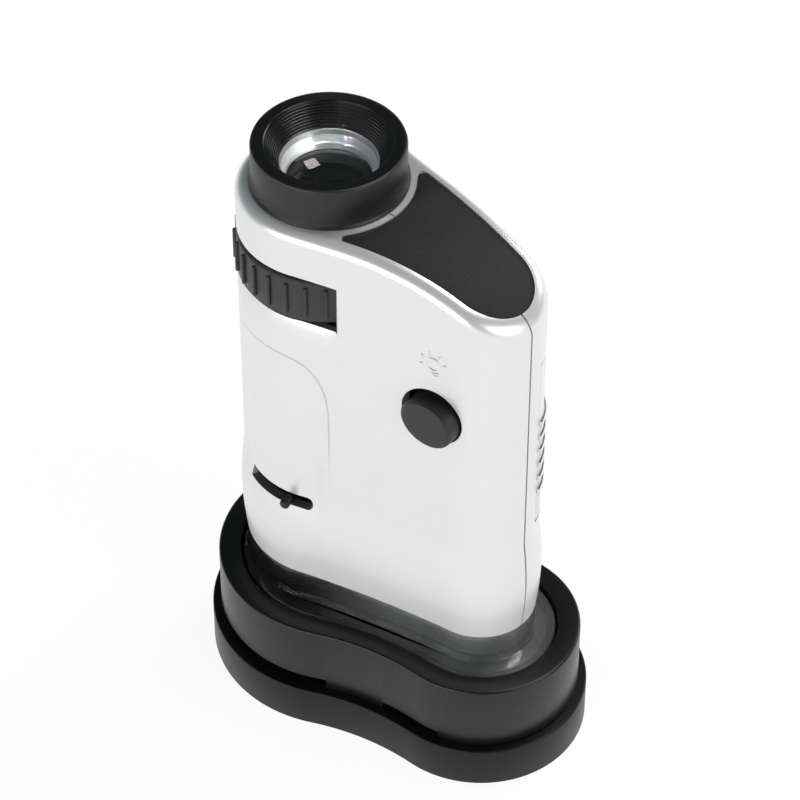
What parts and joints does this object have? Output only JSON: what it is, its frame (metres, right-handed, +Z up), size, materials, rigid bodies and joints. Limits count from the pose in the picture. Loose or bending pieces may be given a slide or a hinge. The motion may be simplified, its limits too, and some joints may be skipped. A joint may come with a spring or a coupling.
{
  "type": "pocket microscope",
  "caption": "Hand-held zoom microscope with an eyecup, zoom ring, focus lever, lamp button and battery door, standing in a two-lobed slide base.",
  "frame": {"origin": "middle of the base's footprint, on the surface that it stands on", "axes": "+Z up along the optical axis, +X from the eyepiece lobe to the battery lobe, -Y towards the lamp button"},
  "size_m": [0.0686, 0.0456, 0.106],
  "materials": {
    "silver_paint": "silver paint on moulded plastic, satin sides and a glossy top edge",
    "label_black": "matte with a fine grain",
    "black_gloss": "satin to glossy moulded plastic",
    "black_satin": "satin moulded plastic",
    "frosted_ring": "translucent moulded plastic",
    "lens_glass": "polished",
    "clear_plastic": "clear moulded plastic",
    "inner_black": "matte",
    "inner_grey": "matte",
    "steel": "bright",
    "contact_metal": "plated",
    "board_green": "coated",
    "lead_sleeve": "smooth"
  },
  "bodies": {
    "base_body": {"base_plate": "black_gloss", "base_collar": "black_gloss", "base_screws": "steel"},
    "scope_body": {"front_shell": "silver_paint", "rear_shell": "silver_paint", "shell_screws": "steel", "label_plate": "label_black", "eyecup": "black_gloss", "eye_lens_ring": "frosted_ring", "eye_lens": "lens_glass", "optical_tube": "inner_black", "field_stop": "black_satin", "objective_guide": "inner_black", "clear_skirt": "clear_plastic", "lamp_holder": "inner_black", "lamp": "clear_plastic", "lamp_leads": "lead_sleeve", "circuit_board": "board_green", "push_switch": "black_satin", "battery_holder": "inner_black", "battery_cells": "steel", "battery_contact_lower": "contact_metal", "battery_contact_upper": "contact_metal"},
    "zoom_body": {"zoom_ring": "black_satin", "zoom_cam_sleeve": "inner_grey"},
    "zoom_lens_body": {"zoom_lens_cell": "inner_black", "zoom_lens": "lens_glass", "zoom_pin": "steel"},
    "focus_body": {"focus_ring": "inner_grey", "focus_lever": "black_satin"},
    "objective_body": {"objective_barrel": "inner_black", "objective_lens": "lens_glass", "objective_retainer": "inner_black", "focus_pin": "steel"},
    "button_body": {"lamp_button": "black_satin", "switch_plunger": "inner_grey"},
    "door_body": {"battery_door": "silver_paint"}
  },
  "joints": [
    {"name": "scope_lift", "type": "slide", "parent": "base_body", "child": "scope_body", "axis": [0, 0, 1], "range_m": [0, 0.03]},
    {"name": "zoom_turn", "type": "hinge", "parent": "scope_body", "child": "zoom_body", "pos_m": [-0.01413, 0, 0.0859], "axis": [0, 0, 1], "range_deg": [-36, 36]},
    {"name": "zoom_slide", "type": "slide", "parent": "scope_body", "child": "zoom_lens_body", "axis": [0, 0, 1], "range_m": [-0.003, 0.003]},
    {"name": "focus_turn", "type": "hinge", "parent": "scope_body", "child": "focus_body", "pos_m": [-0.01413, 0, 0.043], "axis": [0, 0, 1], "range_deg": [-32, 12]},
    {"name": "focus_slide", "type": "slide", "parent": "scope_body", "child": "objective_body", "axis": [0, 0, 1], "range_m": [-0.00222, 0.00083]},
    {"name": "button_press", "type": "slide", "parent": "scope_body", "child": "button_body", "axis": [0, 1, 0], "range_m": [0, 0.0012], "stiffness_N_per_m": 600, "springref_m": -0.0008},
    {"name": "door_lift", "type": "slide", "parent": "scope_body", "child": "door_body", "axis": [0, 1, 0], "range_m": [0, 0.015]}
  ],
  "couplings": [
    {"joint": "zoom_turn", "follows": "zoom_slide", "rad_per_m": 209.44},
    {"joint": "focus_turn", "follows": "focus_slide", "rad_per_m": 251.33}
  ]
}
